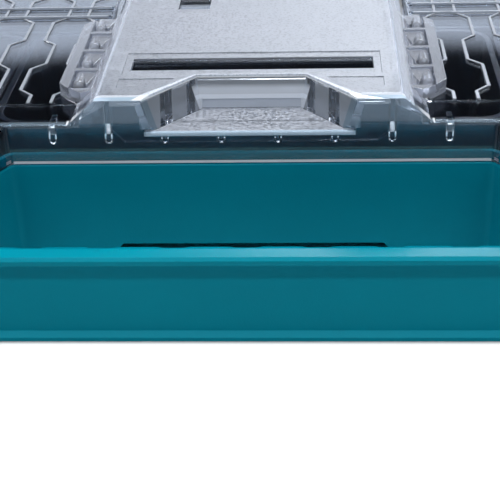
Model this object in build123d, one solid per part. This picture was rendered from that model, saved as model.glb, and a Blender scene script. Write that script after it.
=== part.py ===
from build123d import *
import math
import os

os.makedirs("parts", exist_ok=True)

# A slim organizer case: a moulded tub with a handle bar across a front recess, a hinged clear lid that
# follows the recess and is set back beside it, two front latches and a set of loose bins. X is to the right,
# Y to the back, Z up. The origin is the middle of the footprint, on the plane the case rests on.

# Overall size
WIDTH = 395.0
DEPTH = 295.0
CORNER_R = 14.0
FRONT = -DEPTH / 2
BACK = DEPTH / 2

# Heights above the rest plane
FLOOR_UNDER_Z = 7.4
FLOOR_TOP_Z = 10.0
RIM_FLANGE_Z = 29.0
PARTING_Z = 33.8
TONGUE_Z = 36.3
LEDGE_Z = 46.6
FIELD_Z = 47.1
LINE_Z = 47.5
WING_Z = 51.4
ISLAND_Z = 54.5

# Walls
WALL = 2.6
RIM_WIDTH = 4.0
RIM_CHAMFER = 0.7
SKIRT = 2.2
LID_TOP = 2.2
LID_FRONT = 7.0
FIT_GAP = 0.3

# Front recess: depth from the front face, half width at its back wall, splay of its side walls
RECESS_DEPTH = 44.2
RECESS_HALF = 71.4
SPLAY = math.radians(28)
RECESS_R = 2.5

# Handle bar across the recess
BAR_Z = 27.0
BAR_DEPTH = 9.0
BAR_LIP_H = 2.4
BAR_WEB_Y = 2.0
BAR_WEB = 2.6
BAR_FLANGE_H = 2.4
BAR_SLOPE_START = 5.4
BAR_SLOPE_DROP = 1.5
BAR_SKIRT_Z = 15.0
BAR_SKIRT = 2.0
NOTCH_PITCH = 20.0
NOTCH_COUNT = 9
NOTCH_WIDTH = 9.4
NOTCH_DEPTH = 1.6

# Opening in the lower edge of the recess wall
SILL_HALF = 40.0
SILL_Z = 6.2

# Ribs under the tub: distances from the front, start beside the middle
UNDER_RIB_Y = (75.0, 134.5, 138.5, 205.0, 250.0)
UNDER_RIB_START = 63.0

# Latches and the bays they sit in
LATCH_X = 145.0
BAY_WIDTH = 51.0
BAY_DEPTH = 8.5
BAY_FLOOR_Z = 3.0
LATCH_WIDTH = 49.6
LATCH_BACK = 3.4
BARREL_WIDTH = 42.4
BARREL_R = 3.4
LATCH_PIVOT_Y = 4.6
LATCH_PIVOT_Z = 9.2
EAR_WIDTH = 4.0
CATCH_Z = 39.0
CATCH_H = 3.4
CATCH_REACH = 1.7
CATCH_HALF = 20.0
LATCH_PIN_LENGTH = 50.4
GRIP_COUNT = 4
GRIP_PITCH = 2.6
GRIP_HALF = 16.0

# Hinges
KNUCKLE_R = 3.6
HINGE_X = 125.0
KNUCKLE_LENGTH = 12.0
KNUCKLE_GAP = 0.4
KNUCKLE_COUNT = 5
HINGE_AXIS_Y = BACK - KNUCKLE_R
BODY_BACK = HINGE_AXIS_Y - 4.0
PIN_R = 1.5
PIN_PLAY = 0.06

# Raised island of the lid: foot, bevel around its top plate and slope of its back end
ISLAND_FOOT_HALF = 52.5
ISLAND_BACK = 240.0
ISLAND_BACK_SLOPE = 5.0
PLATE_HALF = 44.0
PLATE_BEVEL = 1.4
PLATE_BEVEL_H = 0.8
FRONT_BEVEL = 3.3
FRONT_BEVEL_H = 0.5

# Pocket in the front of the island: sizes at its floor, draft of its walls, undercut at the foot of its back
POCKET_HALF_FRONT = 30.6
POCKET_HALF_BACK = 15.4
POCKET_BACK = 60.0
POCKET_FLOOR_Z = 44.0
POCKET_FLOOR = 1.6
POCKET_WALL = 1.8
POCKET_DRAFT = 12.0
POCKET_MOUTH_HALF = 31.5
POCKET_LIP_R = 1.2
UNDERCUT_BACK = 60.9
UNDERCUT_Z = 47.1
POCKET_RIB_X = (18.6, 25.4)
POCKET_RIB = 2.0

# Recesses in the island's top plate, as half width or x range, then y range from the front, then depth
SLOT_HALF = 37.1
SLOT_Y = (67.0, 76.4)
SLOT_DEPTH = 1.3
SLOT_LIP_HALF = 39.3
SLOT_LIP_Y = (62.6, 80.0)
STEP_HALF = 39.6
STEP_Y = (53.1, 59.7)
WINDOW_X = (-27.2, -16.4)
WINDOW_Y = (120.8, 131.0)
WINDOW_LIP = 3.6
SHALLOW = 0.4
STEP_MARGIN = 5.0

# Wings beside the island, with the cells in their tops
WING_HALF = 58.8
WING_Y = (64.5, 114.5)
WING_CHAMFER = (3.4, 4.2)
WING_INNER_X = 46.0
WING_TOE = ((WING_INNER_X, 4.5), (51.2, 7.9))
WING_HEEL = 7.3
CELL_X = (47.6, 55.5)
CELL_START = 60.2
CELL_PITCH = 15.85
CELL_COUNT = 4
CELL_RIB = 1.8
CELL_DEPTH = 3.0
STOP_X = 53.5
STOP_R = 1.9
STOP_LENGTH = 7.0
GUSSET_X = (48.4, 53.0)
GUSSET_LENGTH = 9.5

# Raised field of the lid top: margin to the sides and the back, start behind the front
FIELD_MARGIN = 14.0
FIELD_FRONT = 58.0
FIELD_R = 6.0

# Zig-zag lines and locating ridges on the field
LINE_WIDTH = 1.0
LINE_FIRST_X = 58.8
LINE_PITCH = 11.25
LINE_COUNT = 11
LINE_SWING = 2.08
LINE_ROW = 21.05
LINE_STRAIGHT = 16.6
LINE_ROW_Y = 89.97
RIDGE_Y = (132.0, 141.0)
RIDGE_Z = 48.1

# Small ribs inside the front skirt, each with a rounded tip
SKIRT_RIBS = 8
SKIRT_RIB_PITCH = 16.72
SKIRT_RIB_R = 1.15
SKIRT_RIB_TIP_Z = 39.7
SKIRT_RIB_REACH = 5.7
SKIRT_RIB_WEB = 1.4
EDGE_ROUND = 1.2

# Bins
BIN_RIM_Z = 43.5
BIN_WALL = 1.5
BIN_R = 10.0
BIN_GAP = 0.7
BIN_RIM_H = 2.4
BIN_RIM_STEP = 0.7
BIN_DRAFT = 1.5
LOW_FRONT_HALF = 38.0
LOW_FRONT_DROP = 5.6
LOW_FRONT_SLOPE = 6.0
GRID_HALF = 193.0
CENTRE_HALF = 78.5
ROW_A = (49.9, 123.6)
ROW_B = (123.6, 203.2)
ROW_C = (203.2, 282.8)
CORNER_ROW = (13.2, 49.4)
CORNER_INNER_X = 95.0


def from_front(distance):
    """The Y coordinate of a distance behind the front face."""
    return FRONT + distance


def slab(face, low, high):
    """A plan outline raised into a solid between two heights."""
    return extrude(Pos(0, 0, low) * face, high - low, dir=(0, 0, 1))


def box_between(x_range, y_range, z_range):
    """A box given by its limits."""
    size = [high - low for low, high in (x_range, y_range, z_range)]
    middle = [(high + low) / 2 for low, high in (x_range, y_range, z_range)]
    return Pos(*middle) * Box(*size)


def rod(x_start, x_end, y, z, radius):
    """A round bar along X."""
    return Pos((x_start + x_end) / 2, y, z) * Rot(0, 90, 0) * Cylinder(radius, x_end - x_start)


def profile_along_x(points, x_start, x_end):
    """A section drawn in Y and Z, extruded along X."""
    outline = Plane.YZ * Polygon(*points, align=None)
    return Pos(x_start, 0, 0) * extrude(outline, x_end - x_start, dir=(1, 0, 0))


def profile_along_y(points, y_start, y_end):
    """A section drawn in X and Z, extruded along Y."""
    outline = Plane.XZ * Polygon(*points, align=None)
    return Pos(0, y_start, 0) * extrude(outline, y_end - y_start, dir=(0, 1, 0))


def mirrored(shape):
    """A shape and its mirror image across the middle plane."""
    return shape + mirror(shape, about=Plane.YZ)


def rounded_polygon(corners):
    """A face from corners given as x, y and corner radius."""
    face = Polygon(*[(x, y) for x, y, _ in corners], align=None)
    for x, y, radius in corners:
        if radius > 0:
            corner = face.vertices().sort_by_distance(Vector(x, y, 0))[0]
            face = fillet(corner, radius)
    return face


def recess_half(distance, grow):
    """Half width of the front recess at a distance from the front, with its walls moved outwards."""
    return RECESS_HALF + (RECESS_DEPTH - distance) * math.tan(SPLAY) + grow / math.cos(SPLAY)


def body_plan(inset):
    """Outline of the tub in plan with its two latch bays, moved inwards."""
    front = FRONT + inset
    bay_back = from_front(BAY_DEPTH) + inset
    bay_outer = LATCH_X + BAY_WIDTH / 2 + inset
    bay_inner = LATCH_X - BAY_WIDTH / 2 - inset
    bay_corner = max(1.5 - inset, 0)
    bay = [(bay_inner, front, bay_corner), (bay_inner, bay_back, 0),
           (bay_outer, bay_back, 0), (bay_outer, front, bay_corner)]
    return case_plan(inset, 0, bay)


def lid_plan(inset):
    """Outline of the lid in plan, moved inwards."""
    return case_plan(inset, LID_FRONT, [])


def case_plan(inset, set_back, bay):
    """Outline around the recess, the sides and the back, with the corners of a bay in each front."""
    side = WIDTH / 2 - inset
    front = FRONT + set_back + inset
    radius = max(CORNER_R - inset, 1.0)
    half = [
        (recess_half(RECESS_DEPTH + inset, inset), from_front(RECESS_DEPTH) + inset, RECESS_R + inset / 2),
        (recess_half(set_back + inset, inset), front, max(4.0 - inset, 0.5)),
        *bay,
        (side, front, radius),
        (side, BODY_BACK - inset, radius),
    ]
    other = [(-x, y, r) for x, y, r in reversed(half)]
    return rounded_polygon(half + other)


def field_plan():
    """Outline of the raised field of the lid top."""
    front = from_front(FIELD_FRONT)
    back = BODY_BACK - FIELD_MARGIN
    outline = RectangleRounded(WIDTH - 2 * FIELD_MARGIN, back - front, FIELD_R)
    return Pos(0, (front + back) / 2) * outline


def recess_plan(grow):
    """Plan of the recess itself, open past the front face."""
    start = -5.0
    back = RECESS_DEPTH + grow
    points = [(-recess_half(start, grow), start), (-recess_half(back, grow), back),
              (recess_half(back, grow), back), (recess_half(start, grow), start)]
    return Polygon(*[(x, from_front(y)) for x, y in points], align=None)


def knuckles(first):
    """Hinge knuckles of one leaf: every second one, from the first."""
    group = []
    pitch = KNUCKLE_LENGTH + KNUCKLE_GAP
    for centre in (-HINGE_X, HINGE_X):
        for index in range(first, KNUCKLE_COUNT, 2):
            start = centre + (index - KNUCKLE_COUNT / 2) * pitch + KNUCKLE_GAP / 2
            group.append((start, start + KNUCKLE_LENGTH))
    return group


def handle_bar():
    """Open channel with a lip in front, a sloping grip edge behind and stiffening ribs inside."""
    lip_low = BAR_Z - BAR_LIP_H
    slope_low = BAR_Z - BAR_SLOPE_DROP
    section = [
        (0.0, 0.0), (0.0, 1.2), (BAR_WEB_Y, BAR_FLANGE_H), (BAR_WEB_Y, lip_low), (0.0, lip_low),
        (0.0, BAR_Z - 0.9), (0.9, BAR_Z), (BAR_SLOPE_START, BAR_Z), (BAR_DEPTH, slope_low),
        (BAR_DEPTH, BAR_SKIRT_Z), (BAR_DEPTH - BAR_SKIRT, BAR_SKIRT_Z),
        (BAR_DEPTH - BAR_SKIRT, lip_low - 0.4), (BAR_WEB_Y + BAR_WEB, lip_low - 0.4),
        (BAR_WEB_Y + BAR_WEB, 0.0),
    ]
    reach = recess_half(0, 4)
    bar = profile_along_x([(from_front(y), z) for y, z in section], -reach, reach)
    web = [(BAR_WEB_Y, 4.0), (BAR_WEB_Y + BAR_WEB, 4.0), (BAR_DEPTH - 1.0, BAR_SKIRT_Z + 1.5),
           (BAR_DEPTH - 1.0, lip_low), (BAR_WEB_Y, lip_low)]
    web = [(from_front(y), z) for y, z in web]
    for index in range(NOTCH_COUNT - 1):
        x = (index - NOTCH_COUNT / 2 + 1) * NOTCH_PITCH
        bar += profile_along_x(web, x - 0.8, x + 0.8)
    for index in range(NOTCH_COUNT):
        x = (index - (NOTCH_COUNT - 1) / 2) * NOTCH_PITCH
        half = NOTCH_WIDTH / 2
        edge = from_front(BAR_DEPTH)
        notch = Polygon((x - half, edge + 0.1), (x - half + NOTCH_DEPTH, edge - NOTCH_DEPTH),
                        (x + half - NOTCH_DEPTH, edge - NOTCH_DEPTH), (x + half, edge + 0.1), align=None)
        bar -= slab(notch, BAR_SKIRT_Z - 1.0, BAR_Z + 1.0)
    return bar & slab(recess_plan(WALL * 0.6), -1.0, BAR_Z + 1.0)


def organizer_base():
    """Tub with the recess, the bar, a raised floor, a rim tongue, latch ears and hinge knuckles."""
    tub = slab(body_plan(0), 0, PARTING_Z)
    tub = chamfer(tub.edges().group_by(Axis.Z)[-1], RIM_CHAMFER)
    tub -= slab(body_plan(WALL), FLOOR_TOP_Z, RIM_FLANGE_Z)
    tub -= slab(lid_plan(RIM_WIDTH), RIM_FLANGE_Z - 0.1, PARTING_Z + 1)
    tub -= slab(body_plan(WALL), -1, FLOOR_UNDER_Z)
    tongue_inset = SKIRT + FIT_GAP
    tub += slab(lid_plan(tongue_inset) - lid_plan(RIM_WIDTH), PARTING_Z - 0.5, TONGUE_Z)

    sill = [(-SILL_HALF - SILL_Z, -1), (-SILL_HALF, SILL_Z), (SILL_HALF, SILL_Z), (SILL_HALF + SILL_Z, -1)]
    tub -= profile_along_y(sill, from_front(RECESS_DEPTH - 1), from_front(RECESS_DEPTH + WALL + 1))

    for y in UNDER_RIB_Y:
        for side in (-1, 1):
            ends = sorted((side * UNDER_RIB_START, side * (WIDTH / 2 - 1.0)))
            tub += box_between(ends, (from_front(y) - 1, from_front(y) + 1), (0, FLOOR_UNDER_Z + 0.2))

    tub += handle_bar()

    bay_y = (from_front(0.8), from_front(BAY_DEPTH + 1))
    ear = Pos(0, from_front(LATCH_PIVOT_Y), LATCH_PIVOT_Z)
    for side in (-1, 1):
        low, high = sorted((side * (LATCH_X - BAY_WIDTH / 2), side * (LATCH_X + BAY_WIDTH / 2)))
        tub += box_between((low - 0.5, high + 0.5), bay_y, (0, BAY_FLOOR_Z))
        for start, end in ((low - 0.5, low + EAR_WIDTH), (high - EAR_WIDTH, high + 0.5)):
            tub += box_between((start, end), bay_y, (0.5, LATCH_PIVOT_Z))
            tub += rod(start, end, from_front(LATCH_PIVOT_Y), LATCH_PIVOT_Z, LATCH_PIVOT_Y - 0.8)
            tub += box_between((start, end), (from_front(LATCH_PIVOT_Y), bay_y[1]),
                               (LATCH_PIVOT_Z, LATCH_PIVOT_Z + LATCH_PIVOT_Y - 0.8))
        middle = (low + high) / 2
        half = LATCH_PIN_LENGTH / 2
        tub -= rod(middle - half, middle + half, from_front(LATCH_PIVOT_Y), LATCH_PIVOT_Z, PIN_R)

    for start, end in knuckles(0):
        tub += rod(start, end, HINGE_AXIS_Y, PARTING_Z, KNUCKLE_R)
        tub += profile_along_x(
            [(BODY_BACK - 0.5, PARTING_Z), (HINGE_AXIS_Y, PARTING_Z), (HINGE_AXIS_Y, PARTING_Z - KNUCKLE_R),
             (BODY_BACK - 0.5, PARTING_Z - KNUCKLE_R - 4.0)], start, end)
        tub -= rod(start - 0.1, end + 0.1, HINGE_AXIS_Y, PARTING_Z, PIN_R)
    return tub


def island(inset, low):
    """Raised block with sloping sides and a bevelled top, its faces moved inwards."""
    top = ISLAND_Z - inset
    foot = ISLAND_FOOT_HALF - inset
    plate = PLATE_HALF - inset
    side = [(foot, low), (foot, LINE_Z), (plate + PLATE_BEVEL, top - PLATE_BEVEL_H), (plate, top)]
    front = RECESS_DEPTH + inset
    back = ISLAND_BACK - inset
    length = [(front, low), (front, top - FRONT_BEVEL_H), (front + FRONT_BEVEL, top),
              (back - ISLAND_BACK_SLOPE, top), (back, LINE_Z), (back, low)]
    across = profile_along_y(side + [(-x, z) for x, z in reversed(side)], from_front(front), from_front(back))
    along = profile_along_x([(from_front(y), z) for y, z in length], -foot, foot)
    return across & along


def wing():
    """Right-hand wing: a strip with chamfered ends and four cells, each with a rounded stop and a gusset."""
    start, end = WING_Y
    narrow, long = WING_CHAMFER
    corners = [*[(x, start - ahead) for x, ahead in WING_TOE],
               (WING_HALF - narrow, start - long), (WING_HALF, start), (WING_HALF, end),
               (WING_HALF - narrow, end + long), (WING_INNER_X, end + WING_HEEL)]
    block = slab(Polygon(*[(x, from_front(y)) for x, y in corners], align=None), FIELD_Z - 1.0, WING_Z)
    floor_z = WING_Z - CELL_DEPTH
    for index in range(CELL_COUNT):
        near = CELL_START + index * CELL_PITCH
        far = near + CELL_PITCH - CELL_RIB
        block -= box_between(CELL_X, (from_front(near), from_front(far)), (floor_z, WING_Z + 1))
        stop = Pos(STOP_X, from_front(far - STOP_LENGTH / 2), floor_z + 0.4) * Rot(90, 0, 0)
        block += stop * Cylinder(STOP_R, STOP_LENGTH)
        block += Pos(STOP_X, from_front(far - STOP_LENGTH), floor_z + 0.4) * Sphere(STOP_R)
        apex = ((GUSSET_X[0] + GUSSET_X[1]) / 2, from_front(far - GUSSET_LENGTH))
        gusset = Polygon((GUSSET_X[0], from_front(far)), apex, (GUSSET_X[1], from_front(far)), align=None)
        block += slab(gusset, floor_z - 0.5, WING_Z - 0.9)
    return block


def pocket_plan(grow, front):
    """Outline of the pocket's floor from a given front line, its walls moved outwards."""
    points = [(POCKET_HALF_FRONT + grow, front), (POCKET_HALF_BACK + grow * 0.7, POCKET_BACK + grow)]
    outline = [(x, from_front(y)) for x, y in points]
    outline += [(-x, y) for x, y in reversed(outline)]
    return Polygon(*outline, align=None)


def pocket_block(grow, front, high):
    """The pocket from its floor up, with drafted walls."""
    height = high - POCKET_FLOOR_Z
    floor = Pos(0, 0, POCKET_FLOOR_Z) * pocket_plan(grow, front)
    block = extrude(floor, height, dir=(0, 0, 1), taper=-POCKET_DRAFT)
    half = POCKET_MOUTH_HALF + grow
    return block & box_between((-half, half), (from_front(front), 0), (POCKET_FLOOR_Z, high))


def cut_front_pocket(lid):
    """Pocket in the island's front, open to the front, undercut at the back, with ribs behind its walls."""
    floor_low = POCKET_FLOOR_Z - POCKET_FLOOR
    wall_high = ISLAND_Z - LID_TOP / 2
    skirt_front = RECESS_DEPTH + SKIRT / 2
    lid += pocket_block(POCKET_WALL, skirt_front, wall_high)
    lid += slab(pocket_plan(POCKET_WALL, skirt_front), floor_low, POCKET_FLOOR_Z + 0.1)
    half = POCKET_HALF_BACK + POCKET_WALL / 2
    lid += box_between((-half, half), (from_front(POCKET_BACK), from_front(UNDERCUT_BACK + POCKET_WALL)),
                       (floor_low, UNDERCUT_Z + POCKET_WALL))
    slope = (POCKET_BACK - RECESS_DEPTH) / (POCKET_HALF_FRONT - POCKET_HALF_BACK)
    for x in POCKET_RIB_X:
        wall_y = POCKET_BACK - (x - POCKET_HALF_BACK) * slope
        x_range = (x - POCKET_RIB / 2, x + POCKET_RIB / 2)
        lid += mirrored(box_between(x_range, (from_front(wall_y + 1.0), from_front(wall_y + 8.0)),
                                    (floor_low, wall_high)))
    lid -= pocket_block(0, RECESS_DEPTH - 2, ISLAND_Z + 1)
    half = POCKET_HALF_BACK - 0.4
    lid -= box_between((-half, half), (from_front(POCKET_BACK - 0.5), from_front(UNDERCUT_BACK)),
                       (POCKET_FLOOR_Z, UNDERCUT_Z))
    lip_low = POCKET_FLOOR_Z - POCKET_LIP_R
    lip_back = RECESS_DEPTH + POCKET_LIP_R
    edge = box_between((-POCKET_HALF_FRONT, POCKET_HALF_FRONT),
                       (from_front(RECESS_DEPTH - 1), from_front(lip_back)), (lip_low, POCKET_FLOOR_Z + 1))
    edge -= rod(-WIDTH, WIDTH, from_front(lip_back), lip_low, POCKET_LIP_R)
    return lid - edge


def skirt_rib(x):
    """Rib inside the front skirt: a round-tipped post with a web that deepens towards the ceiling."""
    wall = RECESS_DEPTH + SKIRT
    tip = SKIRT_RIB_TIP_Z + SKIRT_RIB_R
    inside_pocket = abs(x) < POCKET_HALF_FRONT
    under_island = abs(x) < PLATE_HALF
    top = POCKET_FLOOR_Z - 0.2 if inside_pocket else ISLAND_Z - 1.0 if under_island else LEDGE_Z - 0.8
    post = Pos(x, from_front(wall + 0.2), (tip + top) / 2) * Cylinder(SKIRT_RIB_R, top - tip)
    post += Pos(x, from_front(wall + 0.2), tip) * Sphere(SKIRT_RIB_R)
    if not inside_pocket:
        reach = wall + SKIRT_RIB_REACH
        web = [(wall - 0.5, top), (reach, top), (reach, BIN_RIM_Z + 1.2), (wall, SKIRT_RIB_TIP_Z + 2.2),
               (wall - 0.5, SKIRT_RIB_TIP_Z + 2.2)]
        half = SKIRT_RIB_WEB / 2
        post += profile_along_x([(from_front(y), z) for y, z in web], x - half, x + half)
    inside = (from_front(RECESS_DEPTH + 0.5), from_front(wall + SKIRT_RIB_REACH))
    return post & box_between((x - 2, x + 2), inside, (PARTING_Z, ISLAND_Z))


def zigzag_line(index):
    """Raised line along Y on the right-hand field that swings from side to side row by row."""
    x = LINE_FIRST_X + index * LINE_PITCH
    front = FIELD_FRONT + 0.6
    back = BODY_BACK - FIELD_MARGIN - FRONT - 0.6
    first = math.ceil((front - LINE_STRAIGHT - LINE_ROW_Y) / LINE_ROW)
    path = []
    row = first
    while LINE_ROW_Y + row * LINE_ROW < back:
        side = 1 if (row + index) % 2 == 0 else -1
        start = LINE_ROW_Y + row * LINE_ROW
        for y in (start, start + LINE_STRAIGHT):
            path.append((x + side * LINE_SWING, from_front(min(max(y, front), back))))
        row += 1
    half = LINE_WIDTH / 2
    outline = [(px + half, py) for px, py in path] + [(px - half, py) for px, py in reversed(path)]
    return slab(Polygon(*outline, align=None), FIELD_Z - 0.3, LINE_Z)


def plate_recess(x_range, y_range, depth):
    """A flat-bottomed recess in the island's top plate."""
    return box_between(x_range, [from_front(y) for y in y_range], (ISLAND_Z - depth, ISLAND_Z + 1))


def clear_lid():
    """Hollow lid with its skirt, raised field, island, wings, pocket, windows, catches and hinge knuckles."""
    shell = slab(lid_plan(0), PARTING_Z, LEDGE_Z)
    shell = fillet(shell.edges().group_by(Axis.Z)[-1], EDGE_ROUND)
    shell += slab(field_plan(), LEDGE_Z - 0.2, FIELD_Z)
    shell += island(0, LEDGE_Z - EDGE_ROUND - 0.3)
    ceiling = LEDGE_Z - LID_TOP + 0.8
    shell -= slab(lid_plan(SKIRT), PARTING_Z - 1, ceiling)
    shell -= island(LID_TOP, ceiling - 1.0)
    shell += mirrored(wing())
    for index in range(SKIRT_RIBS):
        shell += skirt_rib((index - (SKIRT_RIBS - 1) / 2) * SKIRT_RIB_PITCH)
    shell = cut_front_pocket(shell)

    shell -= plate_recess((-SLOT_LIP_HALF, SLOT_LIP_HALF), SLOT_LIP_Y, SHALLOW)
    shell -= plate_recess((-SLOT_HALF, SLOT_HALF), SLOT_Y, SLOT_DEPTH)
    step = plate_recess((-STEP_HALF, STEP_HALF), STEP_Y, SHALLOW)
    shell -= step - slab(pocket_plan(STEP_MARGIN, RECESS_DEPTH - 2), 0, ISLAND_Z + 2)
    lip_y = (WINDOW_Y[0] - WINDOW_LIP, WINDOW_Y[1])
    shell -= plate_recess(WINDOW_X, lip_y, SHALLOW)
    shell -= plate_recess(WINDOW_X, WINDOW_Y, SLOT_DEPTH)

    for index in range(LINE_COUNT):
        shell += mirrored(zigzag_line(index))
    for y in RIDGE_Y:
        y_range = (from_front(y - LINE_WIDTH / 2), from_front(y + LINE_WIDTH / 2))
        shell += mirrored(box_between((ISLAND_FOOT_HALF - 1.0, WIDTH / 2 - FIELD_MARGIN - 4.0), y_range,
                                      (FIELD_Z - 0.3, RIDGE_Z)))

    catch = [(LID_FRONT + 0.5, CATCH_Z - 1.6), (LID_FRONT - CATCH_REACH, CATCH_Z),
             (LID_FRONT - CATCH_REACH, CATCH_Z + CATCH_H), (LID_FRONT + 0.5, CATCH_Z + CATCH_H)]
    catch = [(from_front(y), z) for y, z in catch]
    for side in (-1, 1):
        shell += profile_along_x(catch, side * LATCH_X - CATCH_HALF, side * LATCH_X + CATCH_HALF)

    for start, end in knuckles(1):
        shell += rod(start, end, HINGE_AXIS_Y, PARTING_Z, KNUCKLE_R)
        shell += profile_along_x(
            [(BODY_BACK - 0.5, PARTING_Z), (HINGE_AXIS_Y, PARTING_Z), (HINGE_AXIS_Y, PARTING_Z + KNUCKLE_R),
             (BODY_BACK - 0.5, PARTING_Z + KNUCKLE_R + 3.0)], start, end)
        shell -= rod(start - 0.1, end + 0.1, HINGE_AXIS_Y, PARTING_Z, PIN_R + PIN_PLAY)
    return shell


def latch(side):
    """Latch plate with a barrel at its foot, a hook at its head and grip ridges."""
    top = LEDGE_Z - 1.0
    hook_low = CATCH_Z + CATCH_H + 0.5
    tip = LID_FRONT - CATCH_REACH - 0.3
    section = [(0.7, LATCH_PIVOT_Z + 5.0), (0.7, top - 1.2), (1.9, top), (tip, top), (tip, hook_low + 0.8),
               (tip - 0.8, hook_low), (LATCH_BACK, hook_low), (LATCH_BACK, LATCH_PIVOT_Z + 5.0)]
    x = side * LATCH_X
    half = LATCH_WIDTH / 2
    plate = profile_along_x([(from_front(y), z) for y, z in section], x - half, x + half)
    neck = [(0.7, LATCH_PIVOT_Z), (0.7, LATCH_PIVOT_Z + 5.2), (LATCH_BACK, LATCH_PIVOT_Z + 5.2),
            (LATCH_PIVOT_Y + BARREL_R - 0.2, LATCH_PIVOT_Z)]
    half = BARREL_WIDTH / 2
    plate += profile_along_x([(from_front(y), z) for y, z in neck], x - half, x + half)
    plate += rod(x - half, x + half, from_front(LATCH_PIVOT_Y), LATCH_PIVOT_Z, BARREL_R)
    for index in range(GRIP_COUNT):
        z = top - 5.0 - index * GRIP_PITCH
        plate += box_between((x - GRIP_HALF, x + GRIP_HALF), (from_front(0.2), from_front(1.2)),
                             (z - 0.6, z + 0.6))
    plate -= rod(x - half - 1, x + half + 1, from_front(LATCH_PIVOT_Y), LATCH_PIVOT_Z, PIN_R + PIN_PLAY)
    return plate


def bin_cup(x_range, y_range, low_front=False):
    """Loose bin with drafted walls, a thick rim and round corners; its front may be low in the middle."""
    width = x_range[1] - x_range[0] - BIN_GAP
    depth = y_range[1] - y_range[0] - BIN_GAP
    place = Pos((x_range[0] + x_range[1]) / 2, from_front((y_range[0] + y_range[1]) / 2), BIN_RIM_Z)
    height = BIN_RIM_Z - FLOOR_TOP_Z

    def cup(inset, tall):
        outline = RectangleRounded(width - 2 * inset, depth - 2 * inset, BIN_R - inset)
        return extrude(outline, -tall, taper=BIN_DRAFT)

    body = cup(BIN_RIM_STEP, height)
    body += extrude(RectangleRounded(width, depth, BIN_R), -BIN_RIM_H)
    body -= cup(BIN_RIM_STEP + BIN_WALL, height - BIN_WALL)
    if low_front:
        wide = LOW_FRONT_HALF + LOW_FRONT_SLOPE
        cut = [(-wide, 1), (-LOW_FRONT_HALF, -LOW_FRONT_DROP), (LOW_FRONT_HALF, -LOW_FRONT_DROP), (wide, 1)]
        body -= profile_along_y(cut, -depth / 2 - 1, -depth / 2 + 6.0)
    return place * body


def bin_layout():
    """Name and limits of every bin."""
    fifth = 2 * GRID_HALF / 5
    layout = {
        "bin_front_centre": ((-CENTRE_HALF, CENTRE_HALF), ROW_A),
        "bin_front_left": ((-GRID_HALF, -CENTRE_HALF), ROW_A),
        "bin_front_right": ((CENTRE_HALF, GRID_HALF), ROW_A),
        "bin_corner_left": ((-GRID_HALF, -CORNER_INNER_X), CORNER_ROW),
        "bin_corner_right": ((CORNER_INNER_X, GRID_HALF), CORNER_ROW),
        "bin_back_centre": ((-CENTRE_HALF, CENTRE_HALF), ROW_C),
        "bin_back_left": ((-GRID_HALF, -CENTRE_HALF), ROW_C),
        "bin_back_right": ((CENTRE_HALF, GRID_HALF), ROW_C),
    }
    for index in range(5):
        start = -GRID_HALF + index * fifth
        layout[f"bin_middle_{index + 1}"] = ((start, start + fifth), ROW_B)
    return layout


def save(name, shape):
    """Write one node."""
    export_step(shape, f"parts/{name}.step")


save("organizer_base", organizer_base())
save("clear_lid", clear_lid())
for name, side in (("left", -1), ("right", 1)):
    x = side * LATCH_X
    half = LATCH_PIN_LENGTH / 2
    save(f"latch_{name}", latch(side))
    save(f"latch_pin_{name}", rod(x - half, x + half, from_front(LATCH_PIVOT_Y), LATCH_PIVOT_Z, PIN_R))
    x = side * HINGE_X
    half = KNUCKLE_COUNT * (KNUCKLE_LENGTH + KNUCKLE_GAP) / 2
    save(f"hinge_pin_{name}", rod(x - half, x + half, HINGE_AXIS_Y, PARTING_Z, PIN_R))
for name, (x_range, y_range) in bin_layout().items():
    save(name, bin_cup(x_range, y_range, name == "bin_front_centre"))
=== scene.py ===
import math

import bpy
from mathutils import Matrix, Vector

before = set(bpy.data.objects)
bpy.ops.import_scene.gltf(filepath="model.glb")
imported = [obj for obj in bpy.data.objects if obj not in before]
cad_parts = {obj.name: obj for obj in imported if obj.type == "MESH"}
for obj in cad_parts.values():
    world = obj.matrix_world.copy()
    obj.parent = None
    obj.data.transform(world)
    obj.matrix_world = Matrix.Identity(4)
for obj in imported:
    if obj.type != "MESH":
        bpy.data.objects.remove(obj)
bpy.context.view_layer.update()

MM = 0.001
scene = bpy.context.scene
scene.view_settings.view_transform = "Standard"

# The case, in millimetres: X from its middle, Y from the front of the handle bar, Z from the table
FRONT_Y = -147.5
HALF_WIDTH = 197.5
DEPTH = 295.0
GRIP_Y = (-1.0, 9.5)
GRIP_Z = (25.0, 27.5)

# The lid's skirt, the posts behind it and the gussets beside the island. On a gusset's edge, Z plus
# GUSSET_SLOPE times X is GUSSET_EDGE.
SKIRT_Y = 44.2
SKIRT_WALL_Y = (SKIRT_Y - 0.3, SKIRT_Y + 2.0)
SKIRT_HALF = 95.5
# The skirt's foot is a painted highlight in the lid's material.
SKIRT_FOOT_Y = (SKIRT_Y - 0.2, SKIRT_Y + 1.6)
SKIRT_FOOT_Z = 34.75
SKIRT_FOOT_HALF = 94.5
# Below SKIRT_BAND_Z the skirt carries a painted teal glow; around the next height its painted bluish glow grows
# stronger.
SKIRT_BAND_Z = 38.8
SKIRT_GLOW_Z = 45.75
# The posts' stems carry painted shade in the lid's material.
POST_PITCH = 16.72
POST_R = 1.25
POST_Y = (SKIRT_Y + 2.4, SKIRT_Y + 4.5)
POST_Z = (40.6, 46.5)
LAST_POST_X = 60.5
GUSSET_X = (46.1, 54.0)
GUSSET_Y = (SKIRT_Y - 0.3, SKIRT_Y + 2.6)
GUSSET_Z = 45.75
GUSSET_SLOPE = 0.92
GUSSET_EDGE = 96.7
# A strip of this width along each gusset's edge is a painted highlight.
GUSSET_EDGE_WIDTH = 1.05
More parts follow.
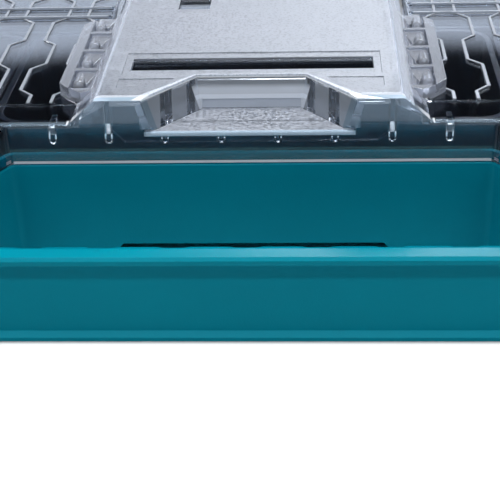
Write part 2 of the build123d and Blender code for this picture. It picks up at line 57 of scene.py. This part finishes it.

# The lid's fields and its raised island with the two wings
# The raised lines are milky partly as an etch and partly as a painted highlight.
LINE_X = 53.3
LINE_Y = (57.0, 290.0)
LINE_Z = (47.28, 48.4)
WING_X = (45.8, 60.0)
WING_Y = (52.0, 123.0)
WING_Z = 47.8
PLATE_Z = 54.5
PLATE_HALF = 44.0
PLATE_Y = SKIRT_Y + 3.0
PLATE_CLEAR_Y = (PLATE_Y, 66.0)
SLOPE_X = (PLATE_HALF, 47.0)
SLOPE_Z = 49.0
# The island's front bevel is a painted highlight.
BEVEL_Y = (SKIRT_Y + 0.1, SKIRT_Y + 3.2)
BEVEL_HALF = 46.0

# The pocket. At its side walls' upper edge, X plus POCKET_SPLAY times Y is POCKET_REACH.
POCKET_FLOOR_Z = 44.0
POCKET_HALF = 31.0
POCKET_Y = (SKIRT_Y + 0.2, 63.0)
POCKET_SPLAY = 0.962
POCKET_REACH = 34.6 + SKIRT_Y * POCKET_SPLAY
POCKET_RIBS_X = ((23.3, 26.3), (17.0, 19.2))
# In the lid's material the pocket's upper rim, its back wall below BACK_WALL_Z, the undercut's rim and the lip
# are painted highlights.
BACK_WALL_Y = 59.6
BACK_WALL_Z = 51.5
UNDERCUT_Z = (47.2, 48.7)
FLOOR_Y = (SKIRT_Y + 0.8, 61.0)
FLOOR_Z = (POCKET_FLOOR_Z - 0.5, POCKET_FLOOR_Z + 0.1)
# A painted dark line across the pocket's floor.
FLOOR_SHADE_LINE_Y = (51.2, 52.0)
LIP_Y = (SKIRT_Y - 1.0, SKIRT_Y + 0.9)
LIP_Z = (POCKET_FLOOR_Z - 1.4, POCKET_FLOOR_Z + 0.1)

# Edges as the mould rounds them, in millimetres, and the least angle that counts as an edge, in degrees. Before
# that, points within SAME_PLACE millimetres and faces within SAME_PLANE degrees of each other are made one.
EDGE_ROUNDS = {"clear_lid": 0.14, "latch_left": 0.3, "latch_right": 0.3}
BIN_EDGE_ROUND = 0.3
TUB_EDGE_ROUND = 0.35
EDGE_ANGLE = 35.0
SAME_PLACE = 0.004
SAME_PLANE = 0.5

# Angles that turn every noise pattern off the faces of the case
GRAIN_TURN = (0.5, 0.7, 0.3)

# The room: heights above the horizon in degrees, strengths of light, and each softbox's place and size in
# metres and its watts
SWEEP_TOP = (20.6, 21.8)
DARK_GAP = (30.0, 42.0)
ROOM_GLOW = 0.10
GAP_GLOW = 0.02
SWEEP_GLOW = 1.7
TABLE_GLOW = 0.7
SOFTBOXES = {"overhead_softbox": ((0.0, 0.05, 1.25), (1.5, 0.9), 12.5),
             "front_strip": ((0.0, -0.607, 1.22), (1.5, 0.1), 8.0),
             "back_right_softbox": ((0.38, 1.50, 1.06), (1.02, 0.28), 11.5)}
LAMP_TARGET = (0.0, 0.0, 0.03)
TABLE_SIZE = 12.0

# Camera of the photograph: place in millimetres, angles in degrees, focal length in picture widths
CAMERA_PLACE = (19.454, -443.753, 203.835)
CAMERA_DOWN = 30.399
CAMERA_TURN = 3.434
CAMERA_ROLL = -1.940
FOCAL_WIDTHS = 2.563724
SENSOR_MM = 36.0


def colour(code):
    """A linear colour from an sRGB hex code."""
    parts = [int(code[i:i + 2], 16) / 255 for i in (1, 3, 5)]
    return [p / 12.92 if p <= 0.04045 else ((p + 0.055) / 1.055) ** 2.4 for p in parts] + [1.0]


def add_node(tree, kind, inputs=None, **settings):
    """A shader node with its settings, and its inputs set or linked."""
    node = tree.nodes.new(kind)
    for name, value in settings.items():
        setattr(node, name, value)
    for name, value in (inputs or {}).items():
        socket = node.inputs[name]
        if isinstance(value, bpy.types.NodeSocket):
            tree.links.new(value, socket)
        else:
            socket.default_value = value
    return node


def moulded(name, **sockets):
    """A new material with one Principled surface, returned with its tree and that surface."""
    material = bpy.data.materials.new(name)
    material.use_nodes = True
    surface = material.node_tree.nodes["Principled BSDF"]
    for socket, value in sockets.items():
        surface.inputs[socket.replace("_", " ")].default_value = value
    return material, material.node_tree, surface


def combined(tree, operation, *values):
    """Several values made one, such as their product or the largest."""
    result = values[0]
    for value in values[1:]:
        result = add_node(tree, "ShaderNodeMath", {0: result, 1: value}, operation=operation).outputs[0]
    return result


def multiply_add(tree, value, factor, addend):
    """A value times a factor, plus an addend."""
    inputs = {0: value, 1: factor, 2: addend}
    return add_node(tree, "ShaderNodeMath", inputs, operation="MULTIPLY_ADD").outputs[0]


def position(tree):
    """Object coordinates, and in mm the distance from the middle, from the front of the bar, and Z."""
    place = add_node(tree, "ShaderNodeTexCoord").outputs["Object"]
    axes = add_node(tree, "ShaderNodeSeparateXYZ", {0: place}).outputs
    x_size = add_node(tree, "ShaderNodeMath", {0: axes[0]}, operation="ABSOLUTE").outputs[0]
    from_front = multiply_add(tree, axes[1], 1 / MM, -FRONT_Y)
    return (place, combined(tree, "MULTIPLY", x_size, 1 / MM), from_front,
            combined(tree, "MULTIPLY", axes[2], 1 / MM))


def rising(tree, value, level, soft=0.1):
    """0 below a level and 1 above it, with a soft edge."""
    limits = {"Value": value, "From Min": level - soft, "From Max": level + soft}
    return add_node(tree, "ShaderNodeMapRange", limits, interpolation_type="SMOOTHSTEP").outputs["Result"]


def ramp(tree, value, limits):
    """0 at the first limit and 1 at the second, smooth between them."""
    first, second = limits
    return rising(tree, value, (first + second) / 2, (second - first) / 2)


def falling(tree, value, level, soft=0.1):
    """1 below a level and 0 above it, with a soft edge."""
    return rising(tree, value, level, -soft)


def within(tree, value, limits, soft=0.1):
    """1 between two limits and 0 outside them, with soft edges."""
    low, high = limits
    return combined(tree, "MULTIPLY", rising(tree, value, low, soft), falling(tree, value, high, soft))


def between(tree, amount, low, high):
    """A number between two others, by an amount from 0 to 1."""
    limits = {"Value": amount, "To Min": low, "To Max": high}
    return add_node(tree, "ShaderNodeMapRange", limits).outputs["Result"]


def blend(tree, amount, first, second):
    """A colour between two others, by an amount from 0 to 1."""
    return add_node(tree, "ShaderNodeMix", {0: amount, 6: first, 7: second}, data_type="RGBA").outputs[2]


def grain(tree, place, size_mm, stretch=(1.0, 1.0, 1.0), detail=2.0):
    """Noise whose features are about size_mm across, and longer along an axis whose stretch is below 1."""
    turned = add_node(tree, "ShaderNodeMapping", {"Vector": place, "Rotation": GRAIN_TURN, "Scale": stretch})
    return add_node(tree, "ShaderNodeTexNoise", {"Vector": turned.outputs[0], "Scale": 1 / (size_mm * MM),
                                                 "Detail": detail, "Roughness": 0.6}).outputs["Fac"]


def teal_abs():
    """Injection-moulded ABS from a spark-eroded mould: an even fine grain that spreads the light, and a
    smoother top on the handle bar, where hands rub it."""
    material, tree, surface = moulded("teal_moulded_abs", IOR=1.53, Specular_IOR_Level=0.06)
    place, _, from_front, height = position(tree)
    mottle = blend(tree, grain(tree, place, 22.0), colour("#008fa6"), colour("#0097ae"))
    tree.links.new(mottle, surface.inputs["Base Color"])
    grip = combined(tree, "MULTIPLY", within(tree, height, GRIP_Z), within(tree, from_front, GRIP_Y))
    rubbed = combined(tree, "MULTIPLY", between(tree, grip, 1.0, 0.6),
                      between(tree, grain(tree, place, 9.0), 0.34, 0.44))
    tree.links.new(rubbed, surface.inputs["Roughness"])
    rounded = add_node(tree, "ShaderNodeBevel", {"Radius": TUB_EDGE_ROUND * MM}, samples=4)
    # The real grain is about 0.1 mm, drawn six times as coarse so that it shows.
    relief = add_node(tree, "ShaderNodeBump", {"Strength": 1.0, "Distance": 0.05 * MM,
                                               "Height": grain(tree, place, 0.6),
                                               "Normal": rounded.outputs[0]})
    tree.links.new(relief.outputs[0], surface.inputs["Normal"])
    return material


def lid_zones(tree, x_size, from_front, height):
    """The places of the lid that are etched, and those painted with highlights, glow or shade, each 1 there and
    0 elsewhere.
    """
    reach = multiply_add(tree, from_front, POCKET_SPLAY, x_size)
    across = multiply_add(tree, x_size, GUSSET_SLOPE, height)
    from_post = combined(tree, "PINGPONG", x_size, POST_PITCH / 2)
    pocket = combined(tree, "MULTIPLY", rising(tree, height, POCKET_FLOOR_Z + 0.2),
                      falling(tree, reach, POCKET_REACH, 0.2), within(tree, from_front, POCKET_Y))
    back_wall = combined(tree, "MULTIPLY", pocket, rising(tree, from_front, BACK_WALL_Y, 0.2))
    skirt = combined(tree, "MULTIPLY", within(tree, from_front, SKIRT_WALL_Y),
                     falling(tree, x_size, SKIRT_HALF, 0.5))
    gusset = combined(tree, "MULTIPLY", within(tree, from_front, GUSSET_Y), within(tree, x_size, GUSSET_X),
                      rising(tree, height, GUSSET_Z, 0.25))
    return {
        "plate": combined(tree, "MULTIPLY", rising(tree, height, PLATE_Z - 0.6),
                          falling(tree, x_size, PLATE_HALF + 0.2, 0.3),
                          rising(tree, from_front, PLATE_Y, 0.4)),
        "front_bevel": combined(tree, "MULTIPLY", rising(tree, height, PLATE_Z - 0.8),
                                within(tree, from_front, BEVEL_Y), falling(tree, x_size, BEVEL_HALF)),
        "slope": combined(tree, "MULTIPLY", within(tree, x_size, SLOPE_X, 0.2),
                          rising(tree, height, SLOPE_Z, 0.5)),
        "wing": combined(tree, "MULTIPLY", within(tree, x_size, WING_X, 0.4), rising(tree, height, WING_Z),
                         within(tree, from_front, WING_Y)),
        "lines": combined(tree, "MULTIPLY", within(tree, height, LINE_Z, 0.05),
                          rising(tree, x_size, LINE_X, 0.3), within(tree, from_front, LINE_Y)),
        "floor": combined(tree, "MULTIPLY", within(tree, height, FLOOR_Z), within(tree, from_front, FLOOR_Y),
                          falling(tree, x_size, POCKET_HALF)),
        "lip": combined(tree, "MULTIPLY", within(tree, height, LIP_Z), within(tree, from_front, LIP_Y),
                        falling(tree, x_size, POCKET_HALF)),
        "pocket": pocket,
        "pocket_rim": combined(tree, "MULTIPLY", pocket, rising(tree, height, PLATE_Z - 0.9)),
        "back_wall": combined(tree, "MULTIPLY", back_wall, falling(tree, height, BACK_WALL_Z, 1.5)),
        "undercut_rim": combined(tree, "MULTIPLY", back_wall, within(tree, height, UNDERCUT_Z, 0.15)),
        "skirt": skirt,
        "skirt_band": combined(tree, "MULTIPLY", skirt, falling(tree, height, SKIRT_BAND_Z, 0.2)),
        "skirt_foot": combined(tree, "MULTIPLY", falling(tree, height, SKIRT_FOOT_Z, 0.05),
                               within(tree, from_front, SKIRT_FOOT_Y),
                               falling(tree, x_size, SKIRT_FOOT_HALF, 0.5)),
        "posts": combined(tree, "MULTIPLY", within(tree, height, POST_Z, 0.2),
                          rising(tree, from_post, POST_PITCH / 2 - POST_R, 0.05),
                          within(tree, from_front, POST_Y), falling(tree, x_size, LAST_POST_X, 0.5)),
        "gusset": gusset,
        "gusset_edge": combined(tree, "MULTIPLY", gusset,
                                rising(tree, across, GUSSET_EDGE - GUSSET_EDGE_WIDTH, 0.15)),
    }


def most(tree, zones, amounts, least):
    """The largest amount that any zone gives a place."""
    parts = [combined(tree, "MULTIPLY", zones[name], amount) for name, amount in amounts.items()]
    return combined(tree, "MAXIMUM", least, *parts)


def clear_polycarbonate():
    """Clear polycarbonate, polished on its walls and fields. The mould is etched where the lid shall look
    milky: a fine frost on the island's plate and the pocket's floor, a thinner one on the wings and the
    pocket's walls. Rims and lips, the skirt's foot, the gusset edges, the island's front bevel and the lower
    part of the pocket's back wall are made milky white as painted highlights."""
    material, tree, surface = moulded("clear_polycarbonate", IOR=1.58)
    surface.inputs["Specular Tint"].default_value = colour("#c4dcf6")
    place, x_size, from_front, height = position(tree)
    zones = lid_zones(tree, x_size, from_front, height)
    frost = combined(tree, "MAXIMUM", zones["plate"], zones["floor"])
    # The etched frost is about 0.05 mm, drawn coarser so that it shows as the speckle it gives.
    contrast = {"Value": grain(tree, place, 0.8, detail=1.0), "From Min": 0.35, "From Max": 0.65,
                "To Min": 0.5, "To Max": 1.5}
    speckle = add_node(tree, "ShaderNodeMapRange", contrast).outputs["Result"]
    thinner_in_front = between(tree, ramp(tree, from_front, PLATE_CLEAR_Y), 0.6, 1.0)
    ribs = combined(tree, "MAXIMUM", *[within(tree, x_size, limits, 0.2) for limits in POCKET_RIBS_X])
    # Painted shade: a narrow line across the pocket's floor is left less milky, so it shows dark.
    painted_floor_shade = within(tree, from_front, FLOOR_SHADE_LINE_Y)
    # Painted light: a bluish glow on the skirt, stronger towards its top, and a teal glow along its lower band.
    skirt_painted_glow = between(tree, rising(tree, height, SKIRT_GLOW_Z, 2.25), 0.055, 0.24)
    band_painted_glow = combined(tree, "MULTIPLY", zones["skirt_band"], 0.17)
    # Milky white here is the etch's frost on the plate, floor, wings, slope, pocket walls and gussets. It is a
    # painted highlight on the front bevel, lip, pocket rim, lower back wall, undercut rim, skirt foot and
    # gusset edges. On the raised lines it is both.
    frost_and_painted_light = most(tree, zones, {
        "plate": combined(tree, "MULTIPLY", speckle, thinner_in_front, 0.34), "front_bevel": 0.8,
        "slope": 0.25, "wing": 0.3, "lines": 0.34,
        "floor": combined(tree, "MULTIPLY", speckle, between(tree, painted_floor_shade, 0.5, 0.25)), "lip": 0.8,
        "pocket": between(tree, ribs, 0.32, 0.1), "pocket_rim": 1.0, "back_wall": 0.8, "undercut_rim": 1.0,
        "skirt": combined(tree, "MAXIMUM", skirt_painted_glow, band_painted_glow), "skirt_foot": 1.0, "gusset": 0.22,
        "gusset_edge": 0.8}, 0.0)
    tree.links.new(combined(tree, "SUBTRACT", 1.0, frost_and_painted_light), surface.inputs["Transmission Weight"])
    roughness = most(tree, zones, {"plate": 0.42, "floor": 0.4, "pocket": between(tree, ribs, 0.16, 0.05),
                                   "wing": 0.12, "slope": 0.15, "lines": 0.2}, 0.02)
    tree.links.new(roughness, surface.inputs["Roughness"])
    # The colours: the etch's speckle on the plate and floor, the wings' own pale lavender, white for the
    # painted highlights, bluish and teal for the skirt's painted glow, and dark grey as painted shade on the
    # posts.
    lid_colour_and_painted_light = colour("#e6eefa")
    frosted = blend(tree, speckle, colour("#9da5b3"), colour("#d8deea"))
    for names, shade in ((("wing", "slope"), colour("#dde3f0")), (("skirt",), colour("#bcd4e8")),
                         (("skirt_band",), colour("#a8e0ea")),
                         (("skirt_foot", "gusset_edge", "pocket_rim"), colour("#f6faff")),
                         (("posts",), colour("#566470")), (("plate", "floor"), frosted)):
        lid_colour_and_painted_light = blend(tree, combined(tree, "MAXIMUM", *[zones[name] for name in names]), lid_colour_and_painted_light, shade)
    tree.links.new(lid_colour_and_painted_light, surface.inputs["Base Color"])
    etched = combined(tree, "MULTIPLY", grain(tree, place, 0.35), frost)
    relief = add_node(tree, "ShaderNodeBump", {"Strength": 0.5, "Distance": 0.05 * MM, "Height": etched})
    tree.links.new(relief.outputs[0], surface.inputs["Normal"])
    return material


def black_polypropylene(name, low_code, high_code):
    """Black moulded polypropylene, satin, with the fine drag marks that a drafted mould leaves as it
    opens."""
    material, tree, surface = moulded(name, IOR=1.49, Specular_IOR_Level=0.3)
    place = add_node(tree, "ShaderNodeTexCoord").outputs["Object"]
    marks = grain(tree, place, 0.9, (1.0, 0.04, 0.04))
    tree.links.new(blend(tree, marks, colour(low_code), colour(high_code)), surface.inputs["Base Color"])
    tree.links.new(between(tree, marks, 0.34, 0.46), surface.inputs["Roughness"])
    relief = add_node(tree, "ShaderNodeBump", {"Strength": 0.2, "Distance": 0.04 * MM,
                                               "Height": grain(tree, place, 0.4)})
    tree.links.new(relief.outputs[0], surface.inputs["Normal"])
    return material


def drawn_steel():
    """Drawn steel wire, bright, with fine marks along its length."""
    material, tree, surface = moulded("drawn_steel", Metallic=1.0)
    surface.inputs["Base Color"].default_value = colour("#c4c6c8")
    place = add_node(tree, "ShaderNodeTexCoord").outputs["Object"]
    tree.links.new(between(tree, grain(tree, place, 0.3, (0.05, 1.0, 1.0)), 0.22, 0.36),
                   surface.inputs["Roughness"])
    return material


def dress(names, material):
    """Gives CAD nodes a material."""
    for name in names:
        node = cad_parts[name]
        node.data.materials.clear()
        node.data.materials.append(material)


def smooth_faces():
    """A modifier group that shades every face smooth."""
    group = bpy.data.node_groups.new("smooth_faces", "GeometryNodeTree")
    for direction in ("INPUT", "OUTPUT"):
        group.interface.new_socket("Geometry", in_out=direction, socket_type="NodeSocketGeometry")
    start = group.nodes.new("NodeGroupInput")
    end = group.nodes.new("NodeGroupOutput")
    smooth = group.nodes.new("GeometryNodeSetShadeSmooth")
    group.links.new(start.outputs[0], smooth.inputs["Geometry"])
    group.links.new(smooth.outputs["Geometry"], end.inputs[0])
    return group


def round_edges(name, width_mm, smooth_group):
    """Joins a node's loose triangles, flattens its planes and rounds its edges as the mould does."""
    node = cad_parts[name]
    joined = node.modifiers.new("join", "WELD")
    joined.merge_threshold = SAME_PLACE * MM
    planes = node.modifiers.new("planes", "DECIMATE")
    planes.decimate_type = "DISSOLVE"
    planes.angle_limit = math.radians(SAME_PLANE)
    planes.delimit = {"NORMAL"}
    edges = node.modifiers.new("edges", "BEVEL")
    edges.width = width_mm * MM
    edges.segments = 2
    edges.limit_method = "ANGLE"
    edges.angle_limit = math.radians(EDGE_ANGLE)
    edges.use_clamp_overlap = False
    node.modifiers.new("smooth", "NODES").node_group = smooth_group
    shading = node.modifiers.new("shading", "WEIGHTED_NORMAL")
    shading.keep_sharp = False


def white_table():
    """A pale table that looks white around the case. Under the case it is plainly lit, so the shadow stays."""
    bpy.ops.object.select_all(action="DESELECT")
    bpy.ops.mesh.primitive_plane_add(size=TABLE_SIZE, location=(0, 0, 0))
    table = bpy.context.object
    table.name = "table"
    material, tree, surface = moulded("white_table", Roughness=0.9, Specular_IOR_Level=0.1)
    table.data.materials.append(material)
    _, x_size, from_front, _ = position(tree)
    outside = combined(tree, "MAXIMUM", rising(tree, x_size, HALF_WIDTH + 1.0, 7.0),
                       falling(tree, from_front, -1.0, 1.0), rising(tree, from_front, DEPTH + 1.0, 7.0))
    rays = add_node(tree, "ShaderNodeLightPath").outputs
    kinds = ("Camera", "Glossy", "Transmission")
    seen = combined(tree, "MAXIMUM", *[rays[f"Is {kind} Ray"] for kind in kinds])
    surface.inputs["Base Color"].default_value = colour("#c4c4c4")
    surface.inputs["Emission Color"].default_value = colour("#ffffff")
    tree.links.new(combined(tree, "MULTIPLY", outside, seen, TABLE_GLOW), surface.inputs["Emission Strength"])


def room():
    """Plain room light, with a white sweep low behind the case and a dark gap above it."""
    world = bpy.data.worlds.new("studio")
    world.use_nodes = True
    scene.world = world
    tree = world.node_tree
    direction = add_node(tree, "ShaderNodeTexCoord").outputs["Generated"]
    axes = add_node(tree, "ShaderNodeSeparateXYZ", {0: direction}).outputs
    sweep_end, sweep_start = [math.sin(math.radians(angle)) for angle in SWEEP_TOP]
    gap_end, gap_start = [math.sin(math.radians(angle)) for angle in DARK_GAP]
    sweep = combined(tree, "MULTIPLY", ramp(tree, axes[2], (sweep_start, sweep_end)),
                     rising(tree, axes[1], 0.2, 0.2), SWEEP_GLOW)
    gap = combined(tree, "MULTIPLY", ramp(tree, axes[2], (gap_start, gap_end)),
                   rising(tree, axes[1], 0.5, 0.2))
    strength = combined(tree, "MAXIMUM", between(tree, gap, ROOM_GLOW, GAP_GLOW), sweep)
    tree.links.new(strength, tree.nodes["Background"].inputs["Strength"])
    tree.nodes["Background"].inputs["Color"].default_value = colour("#e6eefc")


def softboxes():
    """Softboxes overhead and at the back, and a narrow one over the front."""
    for name, (place, size, watts) in SOFTBOXES.items():
        lamp = bpy.data.lights.new(name, "AREA")
        lamp.shape = "RECTANGLE"
        lamp.size, lamp.size_y = size
        lamp.energy = watts
        holder = bpy.data.objects.new(name, lamp)
        holder.location = place
        holder.rotation_euler = (Vector(LAMP_TARGET) - Vector(place)).to_track_quat("-Z", "Y").to_euler()
        scene.collection.objects.link(holder)


def photo_camera():
    """The photograph's camera."""
    lens = bpy.data.cameras.new("photo_camera")
    lens.sensor_width = SENSOR_MM
    lens.lens = FOCAL_WIDTHS * SENSOR_MM
    lens.clip_start = 0.01
    camera = bpy.data.objects.new("photo_camera", lens)
    turn = Matrix.Rotation(math.radians(CAMERA_TURN), 4, "Z")
    tilt = Matrix.Rotation(math.radians(90 - CAMERA_DOWN), 4, "X")
    roll = Matrix.Rotation(math.radians(CAMERA_ROLL), 4, "Z")
    camera.matrix_world = Matrix.Translation(Vector(CAMERA_PLACE) * MM) @ turn @ tilt @ roll
    scene.collection.objects.link(camera)
    scene.camera = camera


bins = [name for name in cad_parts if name.startswith("bin_")]
pins = [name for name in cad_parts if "pin_" in name]
dress(["organizer_base"], teal_abs())
dress(["clear_lid"], clear_polycarbonate())
dress(["latch_left", "latch_right"], black_polypropylene("black_latch_plastic", "#121315", "#17191b"))
dress(bins, black_polypropylene("black_bin_polypropylene", "#0b141f", "#182739"))
dress(pins, drawn_steel())

smooth_group = smooth_faces()
for name, width in {**EDGE_ROUNDS, **dict.fromkeys(bins, BIN_EDGE_ROUND)}.items():
    round_edges(name, width, smooth_group)

white_table()
room()
softboxes()
photo_camera()
